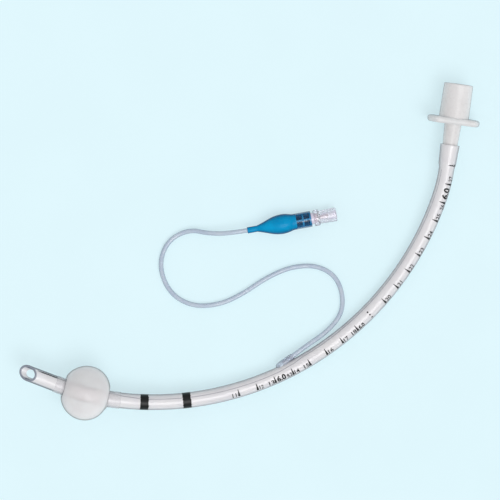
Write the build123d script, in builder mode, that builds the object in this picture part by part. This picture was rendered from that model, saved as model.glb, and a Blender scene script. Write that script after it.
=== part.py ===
# A cuffed tracheal tube, size 6.0, with its 15 mm connector, pilot line, pilot balloon and check valve.
# Millimetres, lying as it comes to rest on a table at Z = 0: the cuff, the connector's flange and the
# lowest stretch of the bend touch the table, and so do the balloon's belly and the valve's ring.
import os
from math import acos, asin, cos, degrees, radians, sin, sqrt, tan

from build123d import *

# The tube, measured along its centreline from the tip
bore_diameter = 6.0
tube_wall = 1.1
tip_length = 26.7
cuff_bend_length = 21.7
cuff_bend_angle = 12.3
main_bend_radius = 156.0
main_bend_length = 220.3
neck_bend_radius = 80.0
neck_bend_length = 15.0
bevel_angle = 42.0
tip_rounding = 0.3
eye_length = 10.6
eye_width = 4.3
eye_distance = 9.6

# The small lumen in the wall that carries air to the cuff
lumen_diameter = 0.6
lumen_start = 12.0
cuff_port_distance = 38.0
cuff_port_diameter = 1.2

# The cuff, a thin film with a bonded collar at each end
cuff_diameter = 28.4
far_film_radius = 13.0
near_film_radius = 12.0
fold_height = 2.7
film_thickness = 0.18
film_lap = 0.3
collar_length = 7.0
collar_thickness = 0.3
bond_gap = 0.02

# The 15 mm connector: a cone, a flange with two flats, and a spigot pushed into the tube
cone_base_diameter = 15.62
cone_length = 17.6
cone_taper = 1 / 40
cone_wall = 1.45
cone_rounding = 0.7
flange_width = 27.3
flange_height = 18.0
flange_thickness = 3.3
flange_rounding = 1.4
flange_corner = 1.5
spigot_root_diameter = 8.9
spigot_end_diameter = 7.0
spigot_length = 20.5
spigot_wall = 0.65
spigot_chamfer = 0.3
spigot_insertion = 9.5
spigot_gap = 0.03
funnel_length = 8.0
stretched_wall = 1.1
stretch_length = 3.0

# The pilot line, and the bond where it leaves the tube
line_diameter = 2.4
line_exit_distance = 144.2
line_exit_angle = 12.0
line_exit_lift = 0.3
line_groove_gap = 0.05
line_first_run = 12.0
line_last_run = 7.0
bond_radius = 1.9
bond_tail = 4.0
bond_nose = 6.5
bond_rim = 0.25

# The pilot balloon, along its axis from the end of its neck
neck_length = 5.1
neck_wall = 0.4
belly_diameter = 10.3
belly_distance = 18.5
belly_wall = 0.25
sleeve_start = 25.8
sleeve_wall = 0.6
balloon_length = 33.8
line_insertion = 4.5
line_neck_gap = 0.02

# The check valve: a ribbed stem that plugs into the balloon, and a barrel with a luer mouth
stem_diameter = 7.1
stem_overlap = 8.8
stem_neck_diameter = 6.0
stem_neck_length = 1.5
stem_gap = 0.03
rib_height = 0.62
rib_width = 0.9
rib_ring_count = 3
rib_count = 4
chamber_diameter = 4.6
stem_floor = 3.2
vent_diameter = 1.6
weld_depth = 1.2
ring_diameter = 8.5
ring_length = 3.0
ring_rounding = 0.7
barrel_length = 8.9
barrel_root_diameter = 6.7
barrel_end_diameter = 7.3
barrel_rounding = 0.5
luer_mouth_diameter = 4.27
luer_depth = 7.5
luer_taper = 0.06
throat_diameter = 2.7
throat_length = 1.2

# The plunger, its seal and its spring
pin_diameter = 2.0
pin_reach = 3.2
pin_rounding = 0.3
head_diameter = 3.9
head_thickness = 0.8
guide_diameter = 1.6
guide_length = 3.4
flute_width = 0.6
flute_depth = 0.4
seal_diameter = 4.1
seal_thickness = 0.7
seal_gap = 0.05
spring_diameter = 3.7
spring_wire = 0.32
spring_turns = 6
spring_gap = 0.05

# Where the balloon lies, and the route that the pilot line takes to it over the table
balloon_place = (-1.3, 10.7)
balloon_heading = 10.4
tip_heading = -21.3
line_route = [
    (41.4, -41.6, 2.2),
    (49.4, -30.6, 1.2),
    (46.9, -15.1, 1.2),
    (36.4, -7.6, 1.2),
    (21.9, -8.1, 1.2),
    (8.4, -14.1, 1.2),
    (-3.1, -22.1, 1.2),
    (-15.6, -28.1, 1.2),
    (-30.1, -29.1, 1.2),
    (-42.1, -22.1, 1.2),
    (-47.6, -8.1, 1.2),
    (-43.6, 4.9, 1.2),
    (-32.1, 11.4, 1.9),
    (-20.6, 8.9, 4.6),
]

bore_radius = bore_diameter / 2
tube_radius = bore_radius + tube_wall
lumen_offset = bore_radius + tube_wall / 2
cuff_radius = cuff_diameter / 2
line_radius = line_diameter / 2
exposed_spigot = spigot_length - spigot_insertion
mouth_length = spigot_insertion + stretch_length
cuff_bend_radius = cuff_bend_length / radians(cuff_bend_angle)
main_bend_angle = degrees(main_bend_length / main_bend_radius)
neck_bend_angle = degrees(neck_bend_length / neck_bend_radius)
cuff_start = tip_length
cuff_end = cuff_start + cuff_bend_length
mouth_start = cuff_end + main_bend_length + neck_bend_length

os.makedirs("parts", exist_ok=True)

# The centreline lies flat in the tube's own plane: the tip at the origin, then +X, bending towards +Y
with BuildLine() as centreline:
    tip_run = Line((0, 0), (tip_length, 0))
    cuff_bend = JernArc(tip_run @ 1, tip_run % 1, cuff_bend_radius, cuff_bend_angle)
    main_bend = JernArc(cuff_bend @ 1, cuff_bend % 1, main_bend_radius, main_bend_angle)
    neck_bend = JernArc(main_bend @ 1, main_bend % 1, neck_bend_radius, neck_bend_angle)
centre_wire = centreline.wire()
with BuildLine() as bends:
    add([cuff_bend, main_bend, neck_bend])


def section_plane(distance):
    """A plane square to the tube, its local X towards the inside of the bend and its local Y up."""
    place = centre_wire.position_at(distance, position_mode=PositionMode.LENGTH)
    along = centre_wire.tangent_at(distance, position_mode=PositionMode.LENGTH)
    return Plane(place, x_dir=Vector(0, 0, 1).cross(along), z_dir=along)


def spigot_radius(depth):
    """The spigot tapers from its root at the flange, at depth 0, to its end."""
    share = depth / spigot_length
    return (spigot_root_diameter + (spigot_end_diameter - spigot_root_diameter) * share) / 2


def rims(part, diameter):
    """The circular edges of one diameter."""
    circles = part.edges().filter_by(GeomType.CIRCLE)
    return circles.filter_by(lambda edge: abs(2 * edge.radius - diameter) < 0.001)


# The tube: one extrusion with the lumen in its wall, stretched at the mouth over the spigot
mouth_plane = section_plane(mouth_start)
mouth_side = Plane(mouth_plane.origin, x_dir=mouth_plane.z_dir, z_dir=(0, 0, 1))
line_plane = section_plane(line_exit_distance)
line_direction = line_plane.z_dir.rotate(Axis.Z, line_exit_angle)
line_start = line_plane.origin + line_plane.x_dir * (tube_radius + line_exit_lift)

with BuildPart() as tube_shaft:
    # The straight tip, cut to a bevel that faces up, its rim rounded inside and out
    with BuildSketch(section_plane(0)):
        Circle(tube_radius)
        Circle(bore_radius, mode=Mode.SUBTRACT)
    extrude(amount=tip_length)
    bevel_normal = Vector(-sin(radians(bevel_angle)), 0, cos(radians(bevel_angle)))
    split(bisect_by=Plane((0, 0, -tube_radius), x_dir=(0, 1, 0), z_dir=bevel_normal), keep=Keep.BOTTOM)
    bevel_face = tube_shaft.faces().sort_by(lambda face: face.normal_at().dot(bevel_normal))[-1]
    fillet(bevel_face.edges(), tip_rounding)
    # The bends
    with BuildSketch(section_plane(tip_length)):
        Circle(tube_radius)
        Circle(bore_radius, mode=Mode.SUBTRACT)
    sweep(path=bends.wire())
    # The straight mouth, stretched over the spigot
    with BuildSketch(mouth_side):
        with BuildLine():
            end_bore = spigot_radius(spigot_length) + spigot_gap
            mouth_bore = spigot_radius(exposed_spigot) + spigot_gap
            end_skin = end_bore + stretched_wall
            mouth_skin = mouth_bore + stretched_wall
            Spline((0, bore_radius), (stretch_length, end_bore), tangents=((1, 0), (1, 0)))
            Line((stretch_length, end_bore), (mouth_length, mouth_bore))
            Line((mouth_length, mouth_bore), (mouth_length, mouth_skin))
            Line((mouth_length, mouth_skin), (stretch_length, end_skin))
            Spline((stretch_length, end_skin), (0, tube_radius), tangents=((-1, 0), (-1, 0)))
            Line((0, tube_radius), (0, bore_radius))
        make_face()
    revolve(axis=Axis(mouth_side.origin, mouth_side.x_dir))
    # The lumen runs inside the wall from behind the tip to the stretched mouth
    with BuildSketch(section_plane(lumen_start)):
        with Locations((lumen_offset, 0)):
            Circle(lumen_diameter / 2)
    with BuildLine() as lumen_path:
        Line((lumen_start, 0), (tip_length, 0))
        add([cuff_bend, main_bend, neck_bend])
    sweep(path=lumen_path.wire(), mode=Mode.SUBTRACT)
    # The port that lets the lumen fill the cuff
    port = section_plane(cuff_port_distance)
    with BuildSketch(Plane(port.origin + port.x_dir * lumen_offset, z_dir=port.x_dir)):
        Circle(cuff_port_diameter / 2)
    extrude(amount=tube_wall, mode=Mode.SUBTRACT)
    # The groove that takes the end of the pilot line
    with BuildSketch(Plane(line_start - line_direction * line_groove_gap, z_dir=line_direction)):
        Circle(line_radius + line_groove_gap)
    extrude(amount=line_first_run, mode=Mode.SUBTRACT)
    # The eye, through the wall opposite the bevel
    with BuildSketch(Plane.XY):
        with Locations((eye_distance, 0)):
            SlotOverall(eye_length, eye_width)
    extrude(amount=-2 * tube_radius, mode=Mode.SUBTRACT)

# The cuff turns about the chord between its two bonds, where the bent tube crosses it
far_bond = section_plane(cuff_start)
near_bond = section_plane(cuff_end)
film_plane = Plane(far_bond.origin, x_dir=near_bond.origin - far_bond.origin, z_dir=(0, 0, 1))
bond_chord = (near_bond.origin - far_bond.origin).length
film_root = tube_radius + bond_gap + (collar_thickness - film_thickness) / 2
near_centre = cuff_radius - near_film_radius
far_centre = cuff_radius - far_film_radius
near_reach = sqrt(near_film_radius**2 - (film_root - near_centre) ** 2)
cuff_equator = bond_chord + film_lap - near_reach
fold_turn = degrees(asin((film_root + fold_height - far_centre) / far_film_radius))


def film_skin(inset):
    """One skin of the film from bond to bond, as the fold, the far arc and the near arc."""
    near_turn = degrees(asin((film_root - near_centre) / (near_film_radius - inset)))
    near_arc = CenterArc((cuff_equator, near_centre), near_film_radius - inset, near_turn, 90 - near_turn)
    far_arc = CenterArc((cuff_equator, far_centre), far_film_radius - inset, 90, 90 - fold_turn)
    fold = TangentArc(far_arc @ 1, (-film_lap, film_root + inset), tangent=far_arc % 1)
    return near_arc @ 0, fold @ 1


with BuildPart() as cuff:
    with BuildSketch(film_plane):
        with BuildLine():
            outer_near, outer_far = film_skin(0)
            inner_near, inner_far = film_skin(film_thickness)
            Line(outer_near, inner_near)
            Line(outer_far, inner_far)
        make_face()
    revolve(axis=Axis(film_plane.origin, film_plane.x_dir))
    with BuildSketch(section_plane(cuff_start - collar_length)):
        Circle(tube_radius + bond_gap + collar_thickness)
        Circle(tube_radius + bond_gap, mode=Mode.SUBTRACT)
    extrude(amount=collar_length)
    with BuildSketch(near_bond):
        Circle(tube_radius + bond_gap + collar_thickness)
        Circle(tube_radius + bond_gap, mode=Mode.SUBTRACT)
    with BuildLine() as near_collar_path:
        near_turn = degrees(collar_length / main_bend_radius)
        JernArc(cuff_bend @ 1, cuff_bend % 1, main_bend_radius, near_turn)
    sweep(path=near_collar_path.wire())

# The connector, along +Z from the tube's side of its flange, the flats square to Y
flange_top = flange_thickness
cone_top = flange_thickness + cone_length
cone_base_radius = cone_base_diameter / 2
cone_mouth_radius = cone_base_radius - cone_length * cone_taper / 2
cone_bore_radius = cone_base_radius - cone_wall
spigot_root_radius = spigot_root_diameter / 2
spigot_end_radius = spigot_end_diameter / 2
funnel_end = flange_top + funnel_length / 2
funnel_start = funnel_end - funnel_length

with BuildPart() as connector:
    with BuildSketch():
        Circle(flange_width / 2)
        Rectangle(flange_width, flange_height, mode=Mode.INTERSECT)
    extrude(amount=flange_thickness)
    fillet(connector.edges().filter_by(Axis.Z), flange_corner)
    fillet(connector.edges().filter_by(Plane.XY), flange_rounding)
    with BuildSketch(Plane.XZ):
        with BuildLine():
            throat_radius = spigot_radius(-funnel_start) - spigot_wall
            outside = Polyline(
                (spigot_end_radius - spigot_wall, -spigot_length),
                (spigot_end_radius - spigot_chamfer, -spigot_length),
                (spigot_end_radius, -spigot_length + 2 * spigot_chamfer),
                (spigot_root_radius, 0),
                (spigot_root_radius, flange_top / 2),
                (cone_base_radius, flange_top / 2),
                (cone_base_radius, flange_top),
                (cone_mouth_radius, cone_top),
                (cone_mouth_radius - cone_wall, cone_top),
                (cone_bore_radius, funnel_end),
            )
            Bezier(
                (cone_bore_radius, funnel_end),
                (cone_bore_radius, funnel_end - funnel_length / 2),
                (throat_radius, funnel_start + funnel_length / 2),
                (throat_radius, funnel_start),
            )
            Line((throat_radius, funnel_start), outside @ 0)
        make_face()
    revolve(axis=Axis.Z)
    fillet(rims(connector, 2 * cone_mouth_radius), cone_rounding)
connector_plane = Plane(
    mouth_plane.origin + mouth_plane.z_dir * (mouth_length + exposed_spigot),
    x_dir=mouth_plane.x_dir,
    z_dir=mouth_plane.z_dir,
)
connector.part.move(connector_plane.location)

# The bond: a drop of adhesive round the end of the line, lying on the tube
bond_plane = Plane(line_start, x_dir=line_direction, z_dir=(0, 0, 1))
with BuildPart() as line_bond:
    with BuildSketch(bond_plane):
        with BuildLine():
            drop = Spline(
                (-bond_tail, 0),
                (0, bond_radius),
                (bond_nose, line_radius + bond_rim),
                tangents=((0, 1), (1, -line_radius / bond_nose)),
            )
            Polyline(drop @ 1, (bond_nose, 0), drop @ 0)
        make_face()
    revolve(axis=Axis(line_start, line_direction))
    with BuildSketch(Plane(line_start, z_dir=line_direction)):
        Circle(line_radius)
    extrude(amount=2 * bond_nose, mode=Mode.SUBTRACT)
    with BuildSketch(section_plane(cuff_end)):
        Circle(tube_radius + bond_gap)
    with BuildLine() as bond_path:
        add(main_bend)
    sweep(path=bond_path.wire(), mode=Mode.SUBTRACT)

# The table in the tube's own frame, as the plane that the cuff, the flange and the bend all touch
bend_centre = near_bond.origin + near_bond.x_dir * main_bend_radius
cuff_foot = film_plane.origin + film_plane.x_dir * cuff_equator
flange_foot = connector_plane.origin + connector_plane.z_dir * flange_thickness / 2
bend_foot = section_plane(cuff_end + main_bend_length / 2).origin
flat_end_angle = acos(flange_height / flange_width)
flat_half = flange_width / 2 * sin(flat_end_angle) - flange_corner * tan(flat_end_angle / 2)
table_normal = Vector(0, 0, 1)
for step in range(8):
    flange_lift = flange_rounding + (flange_height / 2 - flange_rounding) * table_normal.Z
    flange_lift += (flange_thickness / 2 - flange_rounding) * abs(table_normal.dot(connector_plane.z_dir))
    flange_lift += flat_half * abs(table_normal.dot(connector_plane.x_dir))
    feet = zip((cuff_foot, flange_foot, bend_foot), (cuff_radius, flange_lift, tube_radius))
    marks = [foot - Vector(0, 0, lift / table_normal.Z) for foot, lift in feet]
    table_normal = (marks[2] - marks[0]).cross(marks[1] - marks[0]).normalized()
    uphill = Vector(table_normal.X, table_normal.Y, 0).normalized()
    bend_foot = bend_centre - uphill * main_bend_radius
table = Plane(marks[0], x_dir=Vector(1, 0, 0).rotate(Axis.Z, -tip_heading), z_dir=table_normal)
lay_down = table.location.inverse()
for piece in (tube_shaft, cuff, connector, line_bond):
    piece.part.move(lay_down)
tube_box = Compound([tube_shaft.part, cuff.part, connector.part, line_bond.part]).bounding_box()
to_middle = Location((-tube_box.center().X, -tube_box.center().Y, -tube_box.min.Z))
for piece in (tube_shaft, cuff, connector, line_bond):
    piece.part.move(to_middle)
rest = to_middle * lay_down

# The balloon and the valve share one axis, +Z from the end of the balloon's neck, with +X up.
# They lie on the balloon's belly and the valve's ring.
neck_bore_radius = line_radius + line_neck_gap
neck_radius = neck_bore_radius + neck_wall
belly_radius = belly_diameter / 2
stem_radius = stem_diameter / 2
sleeve_bore_radius = stem_radius + stem_gap
sleeve_radius = sleeve_bore_radius + sleeve_wall
ring_base = balloon_length + stem_neck_length
ring_middle = ring_base + ring_length / 2
dip = asin((belly_radius - ring_diameter / 2) / (ring_middle - belly_distance))
heading = radians(balloon_heading)
balloon_axis = Vector(cos(heading) * cos(dip), sin(heading) * cos(dip), -sin(dip))
balloon_lift = belly_radius / cos(dip) + belly_distance * sin(dip)
balloon_rest = Plane(
    (*balloon_place, balloon_lift),
    x_dir=Vector(0, 0, 1) - balloon_axis * balloon_axis.Z,
    z_dir=balloon_axis,
).location


def balloon_skin(inset):
    """One skin of the balloon, from its neck over the belly to the sleeve round the stem."""
    start_radius = neck_radius - (neck_wall if inset else 0)
    end_radius = sleeve_radius - (sleeve_wall if inset else 0)
    rise = belly_distance - neck_length
    fall = sleeve_start - belly_distance
    front = Bezier(
        (start_radius, neck_length),
        (start_radius + (belly_radius - start_radius) * 0.45, neck_length + rise * 0.38),
        (belly_radius - inset, belly_distance - rise * 0.36),
        (belly_radius - inset, belly_distance),
    )
    back = Bezier(
        front @ 1,
        (belly_radius - inset, belly_distance + fall * 0.45),
        (end_radius, sleeve_start - fall * 0.4),
        (end_radius, sleeve_start),
    )
    Line((start_radius, 0), front @ 0)
    Line(back @ 1, (end_radius, balloon_length))


with BuildPart() as pilot_balloon:
    with BuildSketch(Plane.XZ):
        with BuildLine():
            balloon_skin(0)
            balloon_skin(belly_wall)
            Line((neck_radius, 0), (neck_bore_radius, 0))
            Line((sleeve_radius, balloon_length), (sleeve_bore_radius, balloon_length))
        make_face()
    revolve(axis=Axis.Z)

# The stem: a cup for the spring, with windows between its ribs where the balloon grips it
stem_start = balloon_length - stem_overlap
stem_neck_radius = stem_neck_diameter / 2
chamber_radius = chamber_diameter / 2
weld_radius = (stem_neck_radius + chamber_radius) / 2
weld_top = ring_base + weld_depth
chamber_floor = stem_start + stem_floor
bay_length = (stem_overlap - rib_ring_count * rib_width) / (rib_ring_count - 1)
with BuildPart() as valve_stem:
    with BuildSketch(Plane.XZ):
        Polygon(
            (vent_diameter / 2, stem_start),
            (stem_radius, stem_start),
            (stem_radius, balloon_length),
            (stem_neck_radius, balloon_length),
            (stem_neck_radius, ring_base),
            (weld_radius, ring_base),
            (weld_radius, weld_top),
            (chamber_radius, weld_top),
            (chamber_radius, chamber_floor),
            (vent_diameter / 2, chamber_floor),
            align=None,
        )
    revolve(axis=Axis.Z)
    for bay in range(rib_ring_count - 1):
        with BuildSketch(Plane.XY.offset(stem_start + rib_width + bay * (bay_length + rib_width))):
            Circle(stem_radius)
            Circle(stem_radius - rib_height, mode=Mode.SUBTRACT)
            with PolarLocations(stem_radius, rib_count):
                Rectangle(stem_radius, rib_width, mode=Mode.SUBTRACT)
        extrude(amount=bay_length, mode=Mode.SUBTRACT)

# The barrel: the ring, the luer mouth, the throat and the seat that the seal closes
ring_top = ring_base + ring_length
barrel_top = ring_top + barrel_length
luer_floor = barrel_top - luer_depth
luer_mouth_radius = luer_mouth_diameter / 2
luer_floor_radius = luer_mouth_radius - luer_depth * luer_taper / 2
throat_radius = throat_diameter / 2
seat_top = luer_floor - throat_length
seat_base = seat_top - (chamber_radius - throat_radius)
with BuildPart() as valve_barrel:
    with BuildSketch(Plane.XZ):
        Polygon(
            (weld_radius + stem_gap, ring_base),
            (ring_diameter / 2, ring_base),
            (ring_diameter / 2, ring_top),
            (barrel_root_diameter / 2, ring_top),
            (barrel_end_diameter / 2, barrel_top),
            (luer_mouth_radius, barrel_top),
            (luer_floor_radius, luer_floor),
            (throat_radius, luer_floor),
            (throat_radius, seat_top),
            (chamber_radius, seat_base),
            (chamber_radius, weld_top + stem_gap),
            (weld_radius + stem_gap, weld_top + stem_gap),
            align=None,
        )
    revolve(axis=Axis.Z)
    fillet(rims(valve_barrel, ring_diameter), ring_rounding)
    fillet(rims(valve_barrel, barrel_end_diameter), barrel_rounding)

# The seal closes on the seat, the head carries it, and the pin reaches up into the luer mouth
pin_radius = pin_diameter / 2
seal_top = seat_top - seal_gap * sqrt(2)
seal_shoulder = seal_top - (seal_diameter / 2 - throat_radius)
head_top = seal_shoulder - seal_thickness
head_base = head_top - head_thickness
pin_top = luer_floor + pin_reach
with BuildPart() as valve_seal:
    with BuildSketch(Plane.XZ):
        Polygon(
            (pin_radius + bond_gap, head_top),
            (seal_diameter / 2, head_top),
            (seal_diameter / 2, seal_shoulder),
            (throat_radius, seal_top),
            (pin_radius + bond_gap, seal_top),
            align=None,
        )
    revolve(axis=Axis.Z)

with BuildPart() as valve_plunger:
    with BuildSketch(Plane.XZ):
        Polygon(
            (0, head_base - guide_length),
            (guide_diameter / 2, head_base - guide_length),
            (guide_diameter / 2, head_base),
            (head_diameter / 2, head_base),
            (head_diameter / 2, head_top),
            (pin_radius, head_top),
            (pin_radius, pin_top),
            (0, pin_top),
            align=None,
        )
    revolve(axis=Axis.Z)
    fillet(rims(valve_plunger, pin_diameter).sort_by(Axis.Z)[-1], pin_rounding)
    with BuildSketch(Plane.XY.offset(seat_top)):
        with PolarLocations(pin_radius, rib_count):
            Rectangle(2 * flute_depth, flute_width)
    extrude(until=Until.LAST, mode=Mode.SUBTRACT)

# The spring stands on the stem's floor and holds the head up
spring_radius = (spring_diameter - spring_wire) / 2
spring_start = chamber_floor + spring_gap + spring_wire / 2
spring_rise = head_base - spring_gap - spring_wire / 2 - spring_start
with BuildPart() as valve_spring:
    with BuildLine(Plane.XY.offset(spring_start)):
        coil = Helix(pitch=spring_rise / spring_turns, height=spring_rise, radius=spring_radius)
    with BuildSketch(Plane(coil @ 0, z_dir=coil % 0)):
        Circle(spring_wire / 2)
    sweep(is_frenet=True)

# The whole is lifted so that its lowest point just touches the table
lying = Compound([pilot_balloon.part, valve_barrel.part]).moved(balloon_rest)
balloon_rest = Location((0, 0, -lying.bounding_box().min.Z)) * balloon_rest
for piece in (pilot_balloon, valve_stem, valve_barrel, valve_seal, valve_plunger, valve_spring):
    piece.part.move(balloon_rest)

# The pilot line: straight out of its bond, over the table, and straight into the balloon's neck
line_points = [
    (rest * Pos(line_start)).position,
    (rest * Pos(line_start + line_direction * line_first_run)).position,
    *[Vector(point) for point in line_route],
    (balloon_rest * Pos(0, 0, -line_last_run)).position,
    (balloon_rest * Pos(0, 0, line_insertion)).position,
]
line_runs = [end - start for start, end in zip(line_points, line_points[1:])]
line_radii = []
for before, after in zip(line_runs, line_runs[1:]):
    half_turn = radians(before.get_angle(after)) / 2
    line_radii.append(0.45 * min(before.length, after.length) / tan(half_turn))
with BuildPart() as pilot_line:
    with BuildLine() as line_path:
        FilletPolyline(*line_points, radius=line_radii)
    with BuildSketch(Plane(line_points[0], z_dir=line_runs[0])):
        Circle(line_radius)
    sweep(path=line_path.wire())
print("line radii", [round(radius, 1) for radius in line_radii])
print("line runs", [round(run.length, 1) for run in line_runs])
print("line length", round(line_path.wire().length, 1))

tube_shaft.part.label = "tube_shaft"
export_step(tube_shaft.part, "parts/tube_shaft.step")
cuff.part.label = "cuff"
export_step(cuff.part, "parts/cuff.step")
connector.part.label = "connector"
export_step(connector.part, "parts/connector.step")
line_bond.part.label = "line_bond"
export_step(line_bond.part, "parts/line_bond.step")
pilot_line.part.label = "pilot_line"
export_step(pilot_line.part, "parts/pilot_line.step")
pilot_balloon.part.label = "pilot_balloon"
export_step(pilot_balloon.part, "parts/pilot_balloon.step")
valve_stem.part.label = "valve_stem"
export_step(valve_stem.part, "parts/valve_stem.step")
valve_barrel.part.label = "valve_barrel"
export_step(valve_barrel.part, "parts/valve_barrel.step")
valve_seal.part.label = "valve_seal"
export_step(valve_seal.part, "parts/valve_seal.step")
valve_plunger.part.label = "valve_plunger"
export_step(valve_plunger.part, "parts/valve_plunger.step")
valve_spring.part.label = "valve_spring"
export_step(valve_spring.part, "parts/valve_spring.step")
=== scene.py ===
import math

import bmesh
import bpy
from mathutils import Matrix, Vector, noise
from mathutils.bvhtree import BVHTree


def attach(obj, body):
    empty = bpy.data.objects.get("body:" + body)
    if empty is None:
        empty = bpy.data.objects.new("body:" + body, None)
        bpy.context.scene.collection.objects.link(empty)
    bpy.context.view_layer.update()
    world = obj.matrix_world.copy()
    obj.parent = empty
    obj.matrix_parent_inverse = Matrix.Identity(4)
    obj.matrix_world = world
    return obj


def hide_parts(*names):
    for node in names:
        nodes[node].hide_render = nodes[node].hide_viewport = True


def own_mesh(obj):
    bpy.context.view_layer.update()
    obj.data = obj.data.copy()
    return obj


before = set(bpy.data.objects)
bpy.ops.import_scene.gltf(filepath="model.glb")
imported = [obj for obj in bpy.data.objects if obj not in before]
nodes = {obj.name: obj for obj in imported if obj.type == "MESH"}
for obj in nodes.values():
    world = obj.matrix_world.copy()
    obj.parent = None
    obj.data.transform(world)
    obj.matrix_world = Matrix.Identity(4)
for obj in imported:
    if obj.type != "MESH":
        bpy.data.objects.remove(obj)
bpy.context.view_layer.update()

mm = 0.001
sharpTurn = math.radians(38)  # an edge that turns more than this stays sharp


# a hex colour as the linear colour that Blender's sockets take
def hexColour(text):
    parts = [int(text[i:i + 2], 16) / 255 for i in (1, 3, 5)]
    return tuple(p / 12.92 if p <= 0.04045 else ((p + 0.055) / 1.055) ** 2.4 for p in parts) + (1.0,)


# one node with its settings, the values of its sockets and what feeds them; i0 is the first socket, and so on
def addNode(tree, kind, settings=None, **sockets):
    node = tree.nodes.new(kind)
    for key, value in (settings or {}).items():
        setattr(node, key, value)
    for key, value in sockets.items():
        byPlace = key[0] == "i" and key[1:].isdigit()
        socket = node.inputs[int(key[1:]) if byPlace else key.replace("_", " ")]
        if isinstance(value, bpy.types.NodeSocket):
            tree.links.new(value, socket)
        else:
            socket.default_value = value
    return node


# the materials of a piece; clearing would reset which of them each face has, so a new mesh isn't cleared
def giveMaterial(piece, *given):
    if piece.data.materials:
        piece.data.materials.clear()
    for material in given:
        piece.data.materials.append(material)


def link(piece):
    bpy.context.scene.collection.objects.link(piece)
    return piece


# the photograph looks straight down on the table
photoView = {
    "height": 1.5,  # metres over the table, a long lens
    "pixelsPerMm": 1.91,  # at the table
    "pixels": 500,
    "middle": (0.08, 0.5),  # mm, what lies at the middle of the picture
    "sensor": 36.0,  # mm, the camera's own width
}

cameraData = bpy.data.cameras.new("photoCamera")
cameraData.sensor_width = photoView["sensor"]
cameraData.lens = photoView["sensor"] * photoView["height"] / (photoView["pixels"] / photoView["pixelsPerMm"] * mm)
camera = link(bpy.data.objects.new("photoCamera", cameraData))
camera.location = (photoView["middle"][0] * mm, photoView["middle"][1] * mm, photoView["height"])
bpy.context.scene.camera = camera
print("camera done")

# the pilot line, from its bond on the tube to the balloon's neck
pilotLine = {
    "diameter": 2.4 * mm,
    "length": 0.2312,  # metres
    "stepsAlong": 12,  # between two points of the route
    "stepsAround": 8,
    "points": [  # the route, in mm
        (17.16, -58.78, 5.74), (26.62, -51.4, 5.57), (41.4, -41.6, 2.2), (49.4, -30.6, 1.2),
        (46.9, -15.1, 1.2), (36.4, -7.6, 1.2), (21.9, -8.1, 1.2), (8.4, -14.1, 1.2),
        (-3.1, -22.1, 1.2), (-15.6, -28.1, 1.2), (-30.1, -29.1, 1.2), (-42.1, -22.1, 1.2),
        (-47.6, -8.1, 1.2), (-43.6, 4.9, 1.2), (-32.1, 11.4, 1.9), (-20.6, 8.9, 4.6),
        (-8.18, 9.44, 6.44), (3.12, 11.51, 5.87),
    ],
}

lineCurve = bpy.data.curves.new("pilotLine", "CURVE")
lineCurve.dimensions = "3D"
lineCurve.resolution_u = pilotLine["stepsAlong"]
lineCurve.bevel_depth = 1.0  # times each point's radius
lineCurve.bevel_resolution = pilotLine["stepsAround"]
lineCurve.use_fill_caps = True
lineSpline = lineCurve.splines.new("NURBS")
lineSpline.points.add(len(pilotLine["points"]) - 1)
for spot, place in zip(lineSpline.points, pilotLine["points"]):
    spot.co = (place[0] * mm, place[1] * mm, place[2] * mm, 1.0)
    spot.radius = pilotLine["diameter"] / 2
lineSpline.order_u = 3
lineSpline.use_endpoint_u = True
line = link(bpy.data.objects.new("pilotLine", lineCurve))
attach(line, "tube")
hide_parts("pilot_line")
print("pilot line done")

# the tube's own centreline, which the cuff and the print follow
tubeRun = {
    "tip": Vector((-119.298, -61.446, 18.819)),  # mm
    "along": Vector((0.923676, -0.361382, -0.127376)),
    "inward": Vector((0.370718, 0.926898, 0.058558)),
    "up": Vector((0.096903, -0.101309, 0.990124)),
    "straight": 26.7,  # from the tip to the first bend
    "bends": [(101.08, 21.7), (156.0, 220.3), (80.0, 15.0)],  # radius, length
    "outerRadius": 4.1,
}


# the tube's middle at a distance from the tip, with the directions along it and towards the inside of the bend
def tubeFrame(distance):
    x, y, heading = min(distance, tubeRun["straight"]), 0.0, 0.0
    left = distance - tubeRun["straight"]
    for radius, length in tubeRun["bends"]:
        turn = max(0.0, min(left, length)) / radius
        x += radius * (math.sin(heading + turn) - math.sin(heading))
        y += radius * (math.cos(heading) - math.cos(heading + turn))
        heading += turn
        left -= length
    left = max(left, 0.0)
    x, y = x + left * math.cos(heading), y + left * math.sin(heading)
    centre = tubeRun["tip"] + tubeRun["along"] * x + tubeRun["inward"] * y
    along = tubeRun["along"] * math.cos(heading) + tubeRun["inward"] * math.sin(heading)
    inward = tubeRun["inward"] * math.cos(heading) - tubeRun["along"] * math.sin(heading)
    return centre, along, inward


tubeMesh = nodes["tube_shaft"].data
tubeSkin = BVHTree.FromPolygons([v.co for v in tubeMesh.vertices], [p.vertices for p in tubeMesh.polygons])


# a point on the tube's skin, at an angle from the top towards the inside of the bend, lifted off it by so many mm
def skinPoint(distance, angle, lift):
    centre, along, inward = tubeFrame(distance)
    outward = tubeRun["up"] * math.cos(angle) + inward * math.sin(angle)
    hit = tubeSkin.ray_cast((centre + outward * 2 * tubeRun["outerRadius"]) * mm, -outward)[0]
    return hit + outward * (lift * mm)


# the angle of a point that lies so many mm off the tube's middle line when it is looked down on
def angleSeen(distance, offset):
    along, inward = tubeFrame(distance)[1:]
    sideways = Vector((-along.y, along.x, 0)).normalized()
    rise, run = tubeRun["up"].dot(sideways), inward.dot(sideways)
    return math.asin(offset / (tubeRun["outerRadius"] * math.hypot(rise, run))) - math.atan2(rise, run)


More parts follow.
